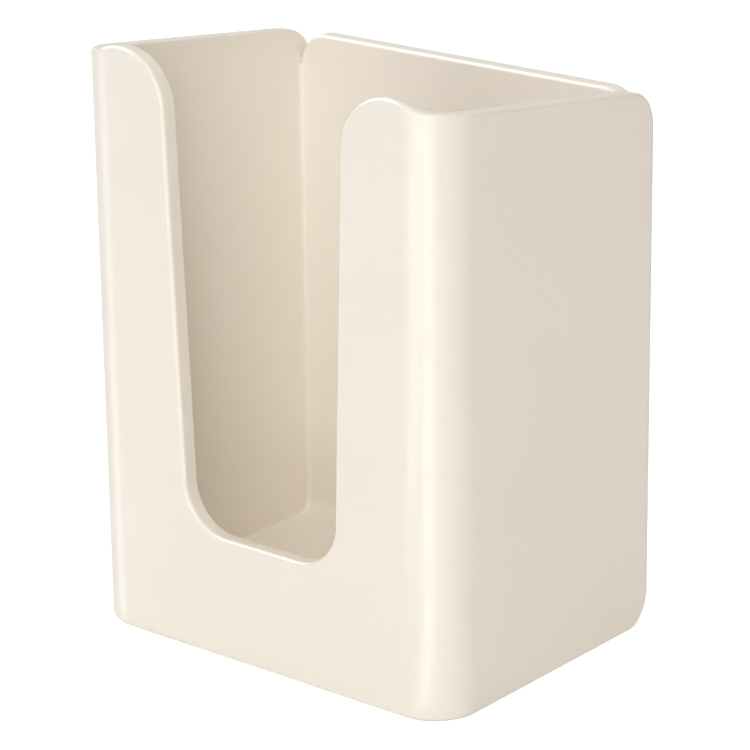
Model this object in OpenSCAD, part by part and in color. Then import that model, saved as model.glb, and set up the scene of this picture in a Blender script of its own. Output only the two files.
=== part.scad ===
// Wall tissue dispenser: an open-topped moulded box with a tall U-shaped notch in its front wall.
// Millimetres. X runs across the front, Y from the front face to the back face, Z up.
// The origin is the middle of the base.

/* [Box] */
// Width over the side walls
box_w = 110; // [96:1:150]
// Depth from the front face to the back face
box_d = 81; // [60:1:120]
// Height of the rim line at the front face
rim_front_h = 143.6; // [135:0.2:190]
// Height of the rim at the back face
rim_rear_h = 133; // [120:0.2:143]
// Thickness of the front and side walls
wall = 4.5; // [3:0.1:6]
// Thickness of the back panel
back_t = 4.5; // [3:0.1:6]
// Thickness of the floor
floor_t = 4.5; // [3:0.1:6]

/* [Corners] */
// Outer radius of the upright bends between the front and the sides
front_bend_r = 11.5; // [9:0.5:20]
// Radius of the outer upright edges at the back
rear_edge_r = 2.4; // [0.5:0.1:2.8]
// Radius of each side wall's upper rear corner
side_top_r = 10; // [4:0.5:16]
// Radius of the back panel's upper corners
panel_r = 8; // [4:0.5:16]
// Outer radius of the bend from the floor into the back
rear_bend_r = 9; // [8:0.5:16]
// Radius of the hollow where two inner faces meet
joint_r = 1.2; // [0.5:0.1:1.5]

/* [Notch] */
// Height of the notch's floor at the front face
notch_floor_h = 30.6; // [20:0.2:60]
// Width of the notch at its floor, as if its corners were sharp
notch_w = 45.4; // [36:0.2:50]
// Angle that each side of the notch leans outwards
notch_lean = 2.1; // [0:0.1:3]
// Radius of the notch's lower corners
notch_r = 12; // [6:0.5:15]

/* [Ears] */
// Height of the top of the ears at the front face
ear_h = 145.7; // [144.8:0.1:147]
// Radius that turns the top of each ear down into the notch
ear_r = 13.5; // [10:0.5:14]
// Radius of the hollow where each ear falls to the rim
shoulder_r = 10; // [5:0.5:12]

/* [Hidden] */
$fn = 96;

cream = "#F1EADF";
// Length by which a cutting shape runs past what it cuts
over = 10;

front_y = -box_d / 2;
rear_y = box_d / 2;
inner_w = box_w - 2 * wall;
inner_front_y = front_y + wall;
inner_rear_y = rear_y - back_t;
inner_bend_r = front_bend_r - wall;
inner_rear_r = rear_bend_r - max(back_t, floor_t);

// The rim slopes down to the back, and the notch and ears are cut square to that slope
rim_slope = atan((rim_front_h - rim_rear_h) / box_d);
function above_rim(h) = (h - rim_front_h) * cos(rim_slope);

// The front outline below is drawn square to the slope, from the rim line
notch_z = above_rim(notch_floor_h);
ear_top = above_rim(ear_h);
ear_z = ear_top - ear_r;
// The ear is filled from here up, so that it always grows out of the front
ear_root = min(0, ear_z) - over;
lean_out = [cos(notch_lean), -sin(notch_lean)];
// Centre of the notch's lower corner, and where its arc meets the leaning side
low_c = [notch_w / 2 + notch_r * (tan(notch_lean) - 1 / cos(notch_lean)), notch_z + notch_r];
low_end = low_c + notch_r * lean_out;
// Centre of the ear's arc, and where it meets the leaning side
ear_c = [notch_w / 2 + (ear_z - notch_z) * tan(notch_lean) + ear_r / cos(notch_lean), ear_z];
ear_start = ear_c - ear_r * lean_out;
// The shoulder's hollow touches the ear's arc and runs level into the rim
ear_fall = acos((shoulder_r - ear_z) / (shoulder_r + ear_r));
shoulder_c = ear_c + (ear_r + shoulder_r) * [sin(ear_fall), cos(ear_fall)];
ear_end = ear_c + ear_r * [sin(ear_fall), cos(ear_fall)];

// Centre of the side wall's upper rear corner, which touches the rim's slope and the back
side_top_y = rear_y - side_top_r;
side_top_z = rim_front_h - (side_top_y - front_y) * tan(rim_slope) - side_top_r / cos(rim_slope);

module both_sides() {
    children();
    mirror([1, 0, 0])
        children();
}

// Outline seen from above, with its own radius for the front and the rear corners
module plan(w, y0, y1, r0, r1) {
    translate([-w / 2, y0 + r0])
        square([w, y1 - y0 - r0 - r1]);
    translate([-w / 2 + r0, y0])
        square([w - 2 * r0, 2 * r0]);
    translate([-w / 2 + r1, y1 - 2 * r1])
        square([w - 2 * r1, 2 * r1]);
    both_sides() {
        translate([w / 2 - r0, y0 + r0])
            circle(r0);
        translate([w / 2 - r1, y1 - r1])
            circle(r1);
    }
}

// Front and side walls seen from above, a U that is open at the back
module wall_plan() {
    difference() {
        plan(box_w, front_y, rear_y, front_bend_r, rear_edge_r);
        plan(inner_w, inner_front_y, rear_y + over, inner_bend_r, rear_edge_r);
    }
}

// Opening of the notch: rounded below, leaning outwards, flaring into the ears above
module notch_outline() {
    difference() {
        union() {
            both_sides() {
                polygon([
                    [0, notch_z], [low_c.x, notch_z], low_c, low_end,
                    ear_start, ear_c, [ear_c.x, ear_top + over], [0, ear_top + over]
                ]);
                translate(low_c)
                    circle(notch_r);
            }
        }
        both_sides()
            translate(ear_c)
                circle(ear_r);
    }
}

// Raised top of the ear and the hollow that brings it down to the rim line
module ear_outline() {
    translate(ear_c)
        circle(ear_r);
    difference() {
        polygon([
            ear_start, ear_c, ear_end, [shoulder_c.x, 0],
            [shoulder_c.x, ear_root], [0, ear_root]
        ]);
        translate(shoulder_c)
            circle(shoulder_r);
    }
}

// Front of the box seen square to the rim's slope
module front_outline() {
    difference() {
        union() {
            translate([-box_w / 2 - over, -rim_front_h - over])
                square([box_w + 2 * over, rim_front_h + over]);
            both_sides()
                ear_outline();
        }
        notch_outline();
    }
}

// The front outline, drawn back along the slope of the rim
module rim_cut() {
    translate([0, front_y, rim_front_h])
        rotate([90 - rim_slope, 0, 0])
            translate([0, 0, -box_d - rim_front_h])
                linear_extrude(box_d + rim_front_h + over)
                    front_outline();
}

// A shape drawn in Y and Z, run across the whole width
module across(w) {
    translate([-w / 2, 0, 0])
        rotate([90, 0, 90])
            linear_extrude(w)
                children();
}

// Side of the walls, with the upper rear corner rounded
module side_outline() {
    polygon([
        [front_y - over, -over], [rear_y, -over], [rear_y, side_top_z], [side_top_y, side_top_z],
        [side_top_y, side_top_z] + side_top_r * [sin(rim_slope), cos(rim_slope)],
        [side_top_y + side_top_r * sin(rim_slope), ear_h + over], [front_y - over, ear_h + over]
    ]);
    translate([side_top_y, side_top_z])
        circle(side_top_r);
}

// Side of the whole box, with the bend from the floor into the back
module base_outline() {
    bend_y = rear_y - rear_bend_r;
    polygon([
        [front_y - over, 0], [bend_y, 0], [bend_y, rear_bend_r], [rear_y, rear_bend_r],
        [rear_y, ear_h + over], [front_y - over, ear_h + over]
    ]);
    translate([bend_y, rear_bend_r])
        circle(rear_bend_r);
}

module walls() {
    intersection() {
        linear_extrude(ear_h)
            wall_plan();
        rim_cut();
        across(box_w + 2 * over)
            side_outline();
    }
}

module back_panel() {
    translate([0, rear_y, 0])
        rotate([90, 0, 0])
            linear_extrude(back_t) {
                translate([-inner_w / 2, 0])
                    square([inner_w, rim_rear_h - panel_r]);
                translate([-inner_w / 2 + panel_r, 0])
                    square([inner_w - 2 * panel_r, rim_rear_h]);
                both_sides()
                    translate([inner_w / 2 - panel_r, rim_rear_h - panel_r])
                        circle(panel_r);
            }
}

// The floor reaches halfway into the walls
module base_floor() {
    linear_extrude(floor_t)
        plan(box_w - wall, front_y + wall / 2, rear_y - rear_edge_r, front_bend_r - wall / 2, rear_edge_r);
}

// Hollow corner profile, filled towards the origin
module hollow(r) {
    difference() {
        square(r);
        translate([r, r])
            circle(r);
    }
}

// Inner bend from the floor into the back panel
module inner_rear_bend() {
    across(inner_w)
        translate([inner_rear_y, floor_t])
            mirror([1, 0])
                hollow(inner_rear_r);
}

// Hollow that follows a bend of radius r, for a quarter turn from +X to +Y
module bent_hollow(r) {
    rotate_extrude(angle = 90)
        translate([r, 0])
            mirror([1, 0])
                hollow(joint_r);
}

// Hollows where the right wall meets the back and the floor, from the top of the back to the front bend
module right_joint() {
    bend_y = inner_rear_y - inner_rear_r;
    bend_z = floor_t + inner_rear_r;
    front_turn_y = inner_front_y + inner_bend_r;
    translate([inner_w / 2, inner_rear_y, bend_z])
        linear_extrude(rim_rear_h - panel_r - bend_z)
            rotate(180)
                hollow(joint_r);
    translate([inner_w / 2, bend_y, bend_z])
        rotate([0, -90, 0])
            mirror([1, 0, 0])
                bent_hollow(inner_rear_r);
    translate([inner_w / 2, bend_y, floor_t])
        rotate([90, 0, 0])
            linear_extrude(bend_y - front_turn_y)
                mirror([1, 0])
                    hollow(joint_r);
    translate([inner_w / 2 - inner_bend_r, front_turn_y, floor_t])
        mirror([0, 1, 0])
            bent_hollow(inner_bend_r);
}

// Hollow where the front wall meets the floor
module front_joint() {
    across(inner_w - 2 * inner_bend_r)
        translate([inner_front_y, floor_t])
            hollow(joint_r);
}

module body() {
    color(cream)
        intersection() {
            union() {
                walls();
                back_panel();
                base_floor();
                inner_rear_bend();
                both_sides()
                    right_joint();
                front_joint();
            }
            across(box_w + 2 * over)
                base_outline();
        }
}

body();
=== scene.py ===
import math

import bmesh
import bpy
from mathutils import Matrix, Vector


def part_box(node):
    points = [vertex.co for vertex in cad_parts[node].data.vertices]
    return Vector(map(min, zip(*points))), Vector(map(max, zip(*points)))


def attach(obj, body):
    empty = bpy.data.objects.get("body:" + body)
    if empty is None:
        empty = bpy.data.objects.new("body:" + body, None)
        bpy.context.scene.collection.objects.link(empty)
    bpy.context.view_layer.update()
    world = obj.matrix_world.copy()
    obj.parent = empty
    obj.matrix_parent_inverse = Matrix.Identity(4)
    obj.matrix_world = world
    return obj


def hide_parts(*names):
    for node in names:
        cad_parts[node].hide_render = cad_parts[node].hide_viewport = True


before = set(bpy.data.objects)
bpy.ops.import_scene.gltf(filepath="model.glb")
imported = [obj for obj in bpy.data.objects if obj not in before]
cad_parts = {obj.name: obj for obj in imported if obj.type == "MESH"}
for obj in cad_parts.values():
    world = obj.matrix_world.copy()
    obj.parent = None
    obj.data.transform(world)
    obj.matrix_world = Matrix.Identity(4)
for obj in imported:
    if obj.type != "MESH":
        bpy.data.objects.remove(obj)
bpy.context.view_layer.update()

# Wall tissue dispenser: an open-topped box moulded in one piece from satin cream ABS.
# Metres. The notched front faces -Y, the back is at +Y, and the base stands on Z = 0.

MM = 0.001

# Sizes of the box: the overall ones come from the solid, the others are those in its source
body_low, body_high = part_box("body")
box_w = body_high.x - body_low.x
front_y = body_low.y
rear_y = body_high.y
ear_h = body_high.z
rim_front_h = 143.6 * MM
rim_rear_h = 133 * MM
wall = 4.5 * MM
front_bend_r = 11.5 * MM
side_top_r = 10 * MM
panel_r = 8 * MM
rear_bend_r = 9 * MM
joint_r = 1.2 * MM

# Sizes of the notch and its ears
notch_floor_h = 30.6 * MM
notch_w = 45.4 * MM
notch_lean = math.radians(2.1)
notch_r = 12 * MM
ear_r = 13.5 * MM
shoulder_r = 10 * MM

# Roundings along the edges: outside and inside the walls, along their rear edges and the base,
# and along the top of the back panel
outer_round = 1.0 * MM
inner_round = 0.45 * MM
rear_round = 2.4 * MM
base_round = 0.8 * MM
panel_front_round = 1.0 * MM
panel_back_round = 0.6 * MM

# How far the back and floor reach into the walls, how far below its rounded corner the back's
# side goes in, and the rounding of these buried edges
embed = 1.0 * MM
panel_sink = 1.5 * embed
buried_round = 0.3 * MM

# The arc of the inner joints is drawn this much larger, so that its ends lie just under the surfaces
joint_spread = 1.01

# How finely curves and lines are cut
bend_steps = 32
corner_steps = 24
round_steps = 6
joint_steps = 8
notch_floor_steps = 4
notch_side_steps = 8

# Points across an edge from face to face. On the side walls, the back and the floor they lie at
# these parts of the thickness, so that the middle two stay clear of the large rear rounding.
edge_points = 4
clear_parts = (0, 0.6, 0.75, 1)

# Points this close are merged, faces this flat are joined, and edges over the last angle stay sharp
merge_distance = 0.001 * MM
flat_angle = math.radians(0.05)
sharp_angle = math.radians(28)

rim_slope = math.atan((rim_front_h - rim_rear_h) / (rear_y - front_y))
slope_up = Vector((0, math.sin(rim_slope), math.cos(rim_slope)))
bend_x = box_w / 2 - front_bend_r
bend_y = front_y + front_bend_r
inner_x = box_w / 2 - wall
mirror_x = Matrix.Scale(-1, 3, (1, 0, 0))


def polar(radius, angle):
    """A flat vector of a length and a direction."""
    return Vector((radius * math.cos(angle), radius * math.sin(angle)))


def steps(a, b, n):
    """n + 1 even values from a to b."""
    return [a + (b - a) * i / n for i in range(n + 1)]


def blend(a, b, t):
    """From a to b, easing in and out."""
    return a + (b - a) * t * t * (3 - 2 * t)


# Heights of the notch's floor and the ear's centre from the rim line, square to the rim's slope
notch_q = (notch_floor_h - rim_front_h) * math.cos(rim_slope)
ear_q = (ear_h - rim_front_h) * math.cos(rim_slope) - ear_r
# Centres of the notch's lower corner, the ear and the hollow where the ear falls to the rim
low_c = Vector((
    notch_w / 2 + notch_r * (math.tan(notch_lean) - 1 / math.cos(notch_lean)),
    notch_q + notch_r,
))
ear_c = Vector((
    notch_w / 2 + (ear_q - notch_q) * math.tan(notch_lean) + ear_r / math.cos(notch_lean),
    ear_q,
))
ear_fall = math.acos((shoulder_r - ear_q) / (shoulder_r + ear_r))
shoulder_c = ear_c + polar(ear_r + shoulder_r, math.pi / 2 - ear_fall)
ear_end_x = (ear_c + polar(ear_r, math.pi / 2 - ear_fall)).x


def rim_at(x):
    """Height of the rim over its line, square to the slope, and which way its surface faces there."""
    if x >= shoulder_c.x:
        return 0.0, Vector((0, 1))
    if x >= ear_end_x:
        drop = math.sqrt(shoulder_r**2 - (shoulder_c.x - x) ** 2)
        return shoulder_c.y - drop, Vector((shoulder_c.x - x, drop)) / shoulder_r
    rise = math.sqrt(ear_r**2 - (x - ear_c.x) ** 2)
    return ear_c.y + rise, Vector((x - ear_c.x, rise)) / ear_r


def rim_point(x, y, q):
    """A point of the rim's surface, which runs back along the slope."""
    return Vector((x, y, rim_front_h + q / math.cos(rim_slope) - (y - front_y) * math.tan(rim_slope)))


def rim_normal(n):
    """The flat direction n of the rim's outline, turned square to the slope."""
    return Vector((n.x, 0, 0)) + slope_up * n.y


class Station:
    """One place on the edge of a plate: its edge surface from the outer face to the inner one."""

    def __init__(self, across, edge_normals, face_normal, outer_r, inner_r, column=None):
        self.across = across
        self.edge_normals = edge_normals
        self.face_normal = face_normal
        self.outer_r = outer_r
        self.inner_r = inner_r
        self.column = column

    def mirrored(self):
        """The same place on the left half."""
        column = self.column
        if column is not None:
            column = (column[0].replace("right", "left"), column[1])
        return Station(
            [mirror_x @ p for p in self.across], [mirror_x @ n for n in self.edge_normals],
            mirror_x @ self.face_normal, self.outer_r, self.inner_r, column,
        )

    def rows(self):
        """Points from the outer face round the edge to the inner face."""
        out = rounded(self.across[0], self.face_normal, self.edge_normals[0], self.outer_r)
        inn = rounded(self.across[-1], -self.face_normal, self.edge_normals[-1], self.inner_r)
        if self.column is not None and "bend" in self.column[0]:
            out[0], inn[0] = onto_bend(out[0], front_bend_r), onto_bend(inn[0], front_bend_r - wall)
        return out + self.across[1:-1] + inn[::-1]


def rounded(corner, n_face, n_edge, r):
    """Round corner of radius r between two surfaces that meet at a point, face first."""
    centre = corner - (n_face + n_edge) * (r / (1 + n_face.dot(n_edge)))
    return [centre + n_face.slerp(n_edge, i / round_steps) * r for i in range(round_steps + 1)]


def onto_bend(p, r):
    """The nearest point to p on a front bend of radius r."""
    axis = Vector((math.copysign(bend_x, p.x), bend_y, p.z))
    return axis + (p - axis).normalized() * r


def plate_station(outer, inner, n, face, outer_r, inner_r, column=None):
    """A station whose edge faces one way, from a point on the outer face to one on the inner face."""
    across = [outer.lerp(inner, part) for part in clear_parts]
    return Station(across, [n] * edge_points, face, outer_r, inner_r, column)


def front_station(p, n):
    """A station on the notch or ear, in the flat front."""
    across = [rim_point(p.x, y, p.y) for y in steps(front_y, front_y + wall, edge_points - 1)]
    return Station(across, [rim_normal(n)] * edge_points, Vector((0, -1, 0)), outer_round, inner_round)


def side_station(y, z, a, outer_r):
    """A station on a corner of the side wall, whose edge faces at angle a as seen from the side."""
    outer, inner = Vector((box_w / 2, y, z)), Vector((inner_x, y, z))
    edge, face = Vector((0, math.cos(a), math.sin(a))), Vector((1, 0, 0))
    return plate_station(outer, inner, edge, face, outer_r, inner_round)


def bend_stations(top):
    """Stations round the front bend, along the rim or along the base."""
    made = []
    for i, turn in enumerate(steps(0, math.pi / 2, bend_steps)):
        face = Vector((math.sin(turn), -math.cos(turn), 0))
        across, normals = [], []
        for r in steps(front_bend_r, front_bend_r - wall, edge_points - 1):
            x, y = bend_x + r * face.x, bend_y + r * face.y
            q, n = rim_at(x)
            across.append(rim_point(x, y, q) if top else Vector((x, y, 0)))
            normals.append(rim_normal(n) if top else Vector((0, 0, -1)))
        outer_r = outer_round if top else base_round
        made.append(Station(across, normals, face, outer_r, inner_round, ("right bend", i)))
    return made


def wall_stations():
    """Outline of the right half of the walls: notch, ear, rim, rear edge and base."""
    floor_xs = steps(0, low_c.x, notch_floor_steps)[:-1]
    made = [front_station(Vector((x, notch_q)), Vector((0, 1))) for x in floor_xs]
    for a in steps(-math.pi / 2, -notch_lean, corner_steps):
        made.append(front_station(low_c + polar(notch_r, a), -polar(1, a)))
    side_low, side_high = low_c + polar(notch_r, -notch_lean), ear_c - polar(ear_r, -notch_lean)
    for t in steps(0, 1, notch_side_steps)[1:-1]:
        made.append(front_station(side_low.lerp(side_high, t), -polar(1, -notch_lean)))
    ear_turn = math.acos((bend_x - ear_c.x) / ear_r)
    for a in steps(math.pi - notch_lean, ear_turn, corner_steps)[:-1]:
        made.append(front_station(ear_c + polar(ear_r, a), polar(1, a)))
    made += bend_stations(True)
    top_y = rear_y - side_top_r
    top_z = rim_front_h - (top_y - front_y) * math.tan(rim_slope) - side_top_r / math.cos(rim_slope)
    for a in steps(math.pi / 2 - rim_slope, 0, corner_steps):
        d = polar(side_top_r, a)
        r = blend(rear_round, outer_round, a / (math.pi / 2 - rim_slope))
        made.append(side_station(top_y + d.x, top_z + d.y, a, r))
    for a in steps(0, -math.pi / 2, corner_steps):
        d = polar(rear_bend_r, a)
        r = blend(rear_round, base_round, -a / (math.pi / 2))
        made.append(side_station(rear_y - rear_bend_r + d.x, rear_bend_r + d.y, a, r))
    return made + bend_stations(False)[::-1]


def back_stations():
    """Outline of the right half of the back and floor, whose sides are buried in the walls."""
    made = []
    back, up, right = Vector((0, 1, 0)), Vector((0, 0, 1)), Vector((1, 0, 0))

    def on_panel(x, z, n_x, n_z, outer_r=panel_back_round, inner_r=panel_front_round):
        """Adds a station on the outline of the back panel."""
        outer, inner = Vector((x, rear_y, z)), Vector((x, rear_y - wall, z))
        n = Vector((n_x, 0, n_z)).normalized()
        made.append(plate_station(outer, inner, n, back, outer_r, inner_r))

    corner_x, corner_z = inner_x - panel_r, rim_rear_h - panel_r
    on_panel(0, rim_rear_h, 0, 1)
    for a in steps(math.pi / 2, 0, corner_steps):
        d = polar(panel_r, a)
        on_panel(corner_x + d.x, corner_z + d.y, math.cos(a), math.sin(a))
    buried_x = inner_x + embed
    on_panel(buried_x, corner_z - panel_sink, 1, 1, buried_round, buried_round)
    for i, a in enumerate(steps(0, -math.pi / 2, corner_steps)):
        face = Vector((0, math.cos(a), math.sin(a)))
        centre = Vector((buried_x, rear_y - rear_bend_r, rear_bend_r))
        outer, inner = centre + face * rear_bend_r, centre + face * (rear_bend_r - wall)
        made.append(plate_station(outer, inner, right, face, buried_round, buried_round, ("heel", i)))
    for turn in steps(math.pi / 2, 0, corner_steps):
        n = Vector((math.sin(turn), -math.cos(turn), 0))
        low = Vector((bend_x, bend_y, 0)) + n * (front_bend_r - wall + embed)
        made.append(plate_station(low, low + up * wall, n, -up, buried_round, buried_round))
    return made


def plate_mesh(name, half):
    """Closed mesh of a bent plate, from the stations of its right half, the middle one first."""
    stations = half + [s.mirrored() for s in half[:0:-1]]
    rows = [s.rows() for s in stations]
    depth, count = len(rows[0]), len(rows)
    points = [p for row in rows for p in row]
    faces = []
    for i in range(count):
        j = (i + 1) % count
        for k in range(depth - 1):
            faces.append((i * depth + k, i * depth + k + 1, j * depth + k + 1, j * depth + k))
    for k in (0, depth - 1):
        faces += [[i * depth + k for i in loop] for loop in face_loops(stations)]
    return closed_mesh(name, points, faces)


def closed_mesh(name, points, faces):
    """An object from points and faces, with every face turned outwards."""
    mesh = bpy.data.meshes.new(name)
    mesh.from_pydata(points, [], faces)
    form = bmesh.new()
    form.from_mesh(mesh)
    bmesh.ops.recalc_face_normals(form, faces=form.faces)
    form.to_mesh(mesh)
    form.free()
    return placed(name, mesh)


def placed(name, data):
    """An object with the given mesh, lamp or camera, put in the scene."""
    made = bpy.data.objects.new(name, data)
    bpy.context.scene.collection.objects.link(made)
    return made


def face_loops(stations):
    """Splits the closed outline into flat faces and the strips of its bends."""
    columns = {}
    for i, s in enumerate(stations):
        if s.column is not None:
            columns.setdefault(s.column, []).append(i)
    chords = [tuple(sorted(pair)) for pair in columns.values() if len(pair) == 2]
    loops = [list(range(len(stations)))]
    for a, b in sorted(chords):
        for loop in loops:
            if a in loop and b in loop:
                i, j = sorted((loop.index(a), loop.index(b)))
                if j - i > 1 and j - i < len(loop) - 1:
                    loops.remove(loop)
                    loops += [loop[i:j + 1], loop[j:] + loop[:i + 1]]
                break
    return loops


def joint_line():
    """Right half of the corner line inside the bay, and which way its two surfaces face."""
    inwards, up = Vector((-1, 0, 0)), Vector((0, 0, 1))
    made = [(Vector((inner_x, rear_y - wall, rim_rear_h - panel_r)), inwards, Vector((0, -1, 0)))]
    for a in steps(0, -math.pi / 2, corner_steps):
        face = Vector((0, math.cos(a), math.sin(a)))
        centre = Vector((inner_x, rear_y - rear_bend_r, rear_bend_r))
        made.append((centre + face * (rear_bend_r - wall), inwards, -face))
    for turn in steps(math.pi / 2, 0, bend_steps):
        face = Vector((math.sin(turn), -math.cos(turn), 0))
        made.append((Vector((bend_x, bend_y, wall)) + face * (front_bend_r - wall), -face, up))
    return made


def joint_mesh():
    """The hollow rounding where the walls run into the back and the floor, as a closed bead."""
    line = joint_line()
    line += [tuple(mirror_x @ v for v in stop) for stop in line[::-1]]
    centre, turns = Vector((joint_r, joint_r)), steps(math.pi, 1.5 * math.pi, joint_steps)
    profile = [centre + polar(joint_r * joint_spread, a) for a in turns]
    deep = joint_r / 2
    profile += [Vector((joint_r, -deep)), Vector((-deep, -deep)), Vector((-deep, joint_r))]
    points = [p + n1 * c.x + n2 * c.y for p, n1, n2 in line for c in profile]
    size, count = len(profile), len(line)
    faces = [
        (i * size + k, i * size + (k + 1) % size, (i + 1) * size + (k + 1) % size, (i + 1) * size + k)
        for i in range(count - 1) for k in range(size)
    ]
    faces += [tuple(range(size)), tuple(range((count - 1) * size, count * size))]
    return closed_mesh("joint", points, faces)


def moulded_body():
    """Walls, back and floor run together into one closed skin with smooth shading."""
    walls = plate_mesh("moulded_body", wall_stations())
    others = [plate_mesh("back", back_stations()), joint_mesh()]
    for other in others:
        union = walls.modifiers.new(other.name, "BOOLEAN")
        union.operation = "UNION"
        union.solver = "MANIFOLD"
        union.object = other
    graph = bpy.context.evaluated_depsgraph_get()
    joined = bpy.data.meshes.new_from_object(walls.evaluated_get(graph))
    walls.modifiers.clear()
    walls.data = joined
    for other in others:
        bpy.data.objects.remove(other)
    form = bmesh.new()
    form.from_mesh(joined)
    bmesh.ops.remove_doubles(form, verts=form.verts, dist=merge_distance)
    bmesh.ops.dissolve_limit(form, angle_limit=flat_angle, verts=form.verts, edges=form.edges)
    form.to_mesh(joined)
    form.free()
    joined.shade_smooth()
    joined.set_sharp_from_angle(angle=sharp_angle)
    even = walls.modifiers.new("even shading", "WEIGHTED_NORMAL")
    even.keep_sharp = True
    return walls


def linear(code):
    """An sRGB hex colour as the linear values that a shader takes."""
    parts = [int(code[i:i + 2], 16) / 255 for i in (1, 3, 5)]
    return [c / 12.92 if c <= 0.04045 else ((c + 0.055) / 1.055) ** 2.4 for c in parts] + [1]


def add(tree, kind, inputs=None, **settings):
    """Adds a node: sockets given as inputs are linked, other inputs and the settings are set."""
    made = tree.nodes.new(kind)
    for name, value in settings.items():
        setattr(made, name, value)
    for name, value in (inputs or {}).items():
        if isinstance(value, bpy.types.NodeSocket):
            tree.links.new(value, made.inputs[name])
        else:
            made.inputs[name].default_value = value
    return made


def new_material(name):
    """A material that is shaded by nodes, and its node tree."""
    material = bpy.data.materials.new(name)
    material.use_nodes = True
    return material, material.node_tree


def satin_abs():
    """Cream ABS moulded against a satin tool: even warm colour, with soft broad highlights."""
    cloud_size, grain_size, grain_depth = 35 * MM, 0.6 * MM, 0.02 * MM
    darker, lighter = linear("#F5EDE1"), linear("#F8F1E7")
    smoothest, roughest = 0.28, 0.33
    material, tree = new_material("satin moulded ABS")
    shader = tree.nodes["Principled BSDF"]
    place = add(tree, "ShaderNodeTexCoord").outputs["Object"]
    cloud = add(tree, "ShaderNodeTexNoise", {"Vector": place, "Scale": 1 / cloud_size, "Detail": 2.0})
    tint = add(tree, "ShaderNodeMix", {
        "Factor": cloud.outputs["Fac"], "A": darker, "B": lighter,
    }, data_type="RGBA")
    tree.links.new(tint.outputs["Result"], shader.inputs["Base Color"])
    sheen = add(tree, "ShaderNodeMapRange", {
        "Value": cloud.outputs["Fac"], "To Min": smoothest, "To Max": roughest,
    })
    tree.links.new(sheen.outputs["Result"], shader.inputs["Roughness"])
    grain = add(tree, "ShaderNodeTexNoise", {"Vector": place, "Scale": 1 / grain_size, "Detail": 1.0})
    relief = add(tree, "ShaderNodeBump", {
        "Height": grain.outputs["Fac"], "Strength": 0.06, "Distance": grain_depth,
    })
    tree.links.new(relief.outputs["Normal"], shader.inputs["Normal"])
    shader.inputs["IOR"].default_value = 1.53
    shader.inputs["Specular IOR Level"].default_value = 0.8
    return material


def studio_floor():
    """A plain pale floor that looks white to the camera and keeps the box's shadow."""
    reach, camera_lift = 0.8, 0.5
    corners = [(-reach, -reach, 0), (reach, -reach, 0), (reach, reach, 0), (-reach, reach, 0)]
    mesh = bpy.data.meshes.new("floor")
    mesh.from_pydata(corners, [], [(0, 1, 2, 3)])
    floor = placed("floor", mesh)
    material, tree = new_material("white card")
    shader = tree.nodes["Principled BSDF"]
    shader.inputs["Base Color"].default_value = linear("#F2F1EF")
    shader.inputs["Roughness"].default_value = 0.9
    seen = add(tree, "ShaderNodeLightPath").outputs["Is Camera Ray"]
    lift = add(tree, "ShaderNodeMath", {0: seen, 1: camera_lift}, operation="MULTIPLY")
    shader.inputs["Emission Color"].default_value = linear("#FFFFFF")
    tree.links.new(lift.outputs["Value"], shader.inputs["Emission Strength"])
    mesh.materials.append(material)


def studio_air():
    """White behind the box to the camera, half as bright in its sheen, and a faint light all round."""
    light, sheen_light = 0.05, 0.5
    world = bpy.data.worlds.new("studio")
    bpy.context.scene.world = world
    world.use_nodes = True
    tree = world.node_tree
    path = add(tree, "ShaderNodeLightPath").outputs
    sheen = add(tree, "ShaderNodeMapRange", {
        "Value": path["Is Glossy Ray"], "To Min": light, "To Max": sheen_light,
    })
    seen = add(tree, "ShaderNodeMath", {
        0: path["Is Camera Ray"], 1: path["Is Transmission Ray"],
    }, operation="MAXIMUM")
    strength = add(tree, "ShaderNodeMapRange", {
        "Value": seen.outputs["Value"], "To Min": sheen.outputs["Result"], "To Max": 1.0,
    })
    sky = tree.nodes["Background"]
    sky.inputs["Color"].default_value = linear("#FFFFFF")
    tree.links.new(strength.outputs["Result"], sky.inputs["Strength"])


def direction(azimuth, elevation):
    """From the box to a place round it, in degrees: azimuth 0 is in front, and positive is on its right."""
    a, e = math.radians(azimuth), math.radians(elevation)
    return Vector((math.sin(a) * math.cos(e), -math.cos(a) * math.cos(e), math.sin(e)))


def soft_box(name, azimuth, elevation, distance, size, power, tint="#FFFFFF"):
    """A large area lamp that looks at the middle of the box: metres and watts."""
    data = bpy.data.lights.new(name, "AREA")
    data.shape = "RECTANGLE"
    data.size, data.size_y = size
    data.energy = power
    data.color = linear(tint)[:3]
    lamp = placed(name, data)
    away = direction(azimuth, elevation)
    lamp.location = (body_low + body_high) / 2 + away * distance
    lamp.rotation_mode = "QUATERNION"
    lamp.rotation_quaternion = (-away).to_track_quat("-Z", "Y")


def bounce_card(name, x, azimuth, spread, strength, near=0.004, tint="#FAFCFF"):
    """A bright card that lies just above the floor and fans out from below an upright edge at x."""
    far, clearance = 1.2, 0.5 * MM
    start = Vector((x, front_y, clearance))
    corners = [start + direction(azimuth + turn, 0) * reach
               for turn, reach in ((-spread, near), (spread, near), (spread, far), (-spread, far))]
    sheen_card(name, corners, strength, tint)


def sky_card(name, azimuths, elevations, strength, tint="#FAFCFF"):
    """A bright card high beside the box, between two azimuths and two elevations."""
    reach = 1.5
    (start, end), (low, high) = azimuths, elevations
    places = ((start, low), (end, low), (end, high), (start, high))
    sheen_card(name, [direction(a, e) * reach for a, e in places], strength, tint)


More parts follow.
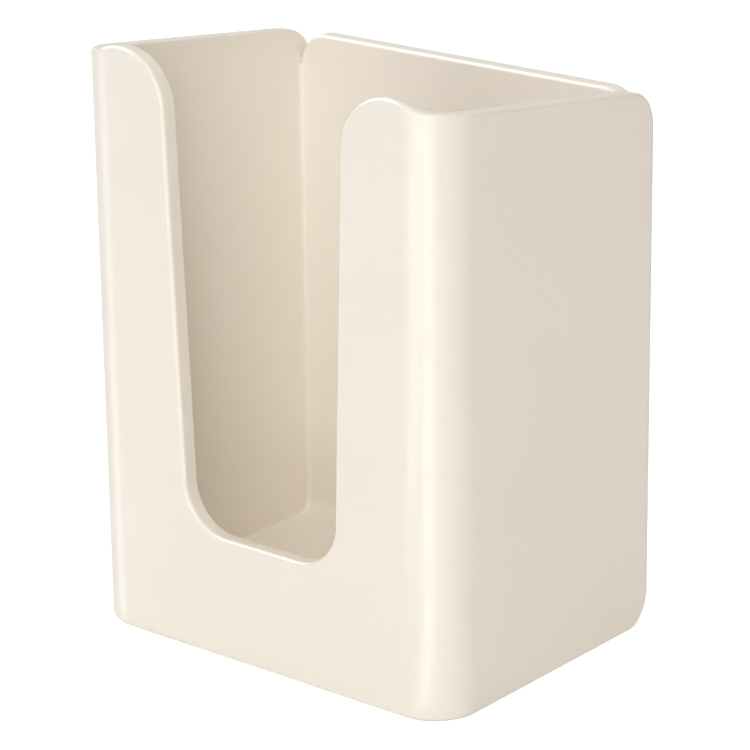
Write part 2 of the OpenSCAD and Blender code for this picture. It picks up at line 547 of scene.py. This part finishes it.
def sheen_card(name, corners, strength, tint):
    """A bright card that is seen only in the plastic's reflections."""
    mesh = bpy.data.meshes.new(name)
    mesh.from_pydata(corners, [], [(0, 1, 2, 3)])
    card = placed(name, mesh)
    material, tree = new_material(name)
    tree.nodes.clear()
    glow = add(tree, "ShaderNodeEmission", {"Color": linear(tint), "Strength": strength})
    add(tree, "ShaderNodeOutputMaterial", {"Surface": glow.outputs["Emission"]})
    mesh.materials.append(material)
    for ray in ("camera", "diffuse", "transmission", "volume_scatter", "shadow"):
        setattr(card, "visible_" + ray, False)


def camera():
    """The photograph's view: from the front right and a little above, with a long lens."""
    place = (0.4972, -0.5957, 0.3321)
    azimuth, elevation, roll = 39.72, 19.14, -0.75
    data = bpy.data.cameras.new("camera")
    data.lens, data.sensor_width = 164.6, 36
    data.clip_start, data.clip_end = 0.01, 20
    eye = placed("camera", data)
    back = direction(azimuth, elevation)
    level = direction(azimuth + 90, 0)
    turn = Matrix((level, back.cross(level), back)).transposed().to_4x4()
    tilt = Matrix.Rotation(math.radians(roll), 4, "Z")
    eye.matrix_world = Matrix.Translation(place) @ turn @ tilt
    bpy.context.scene.camera = eye


camera()
bpy.context.scene.view_settings.view_transform = "Standard"
studio_air()
studio_floor()
soft_box("left front", azimuth=-30, elevation=18, distance=1.3, size=(0.9, 0.6), power=0.8, tint="#FBFDFF")
soft_box("left", azimuth=-92, elevation=40, distance=1.2, size=(0.8, 0.8), power=8.0)
soft_box("front", azimuth=25, elevation=35, distance=1.3, size=(0.8, 0.8), power=6.0)
soft_box("low front", azimuth=30, elevation=8, distance=1.4, size=(0.5, 0.5), power=3.8)
soft_box("right rear", azimuth=110, elevation=18, distance=1.1, size=(0.5, 0.5), power=1.3, tint="#FFF3DC")
soft_box("high right", azimuth=60, elevation=60, distance=1.2, size=(0.8, 0.8), power=2.8, tint="#FFFBF3")
soft_box("back", azimuth=180, elevation=55, distance=1.2, size=(1.0, 0.8), power=2.7, tint="#FFFDF9")
bounce_card("right card", bend_x, azimuth=28, spread=12, strength=2.7)
bounce_card("left card", -bend_x, azimuth=-62, spread=11, strength=2.5)
bounce_card("side card", box_w / 2, azimuth=150, spread=15, strength=0.9, tint="#FFFDFA")
bounce_card("left notch card", -notch_w / 2, azimuth=8, spread=7, strength=3.2, near=0.09)
sky_card("sky card", azimuths=(-95, -25), elevations=(32, 68), strength=4.2)

body = moulded_body()
body.data.materials.clear()
body.data.materials.append(satin_abs())
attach(body, "root")
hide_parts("body")
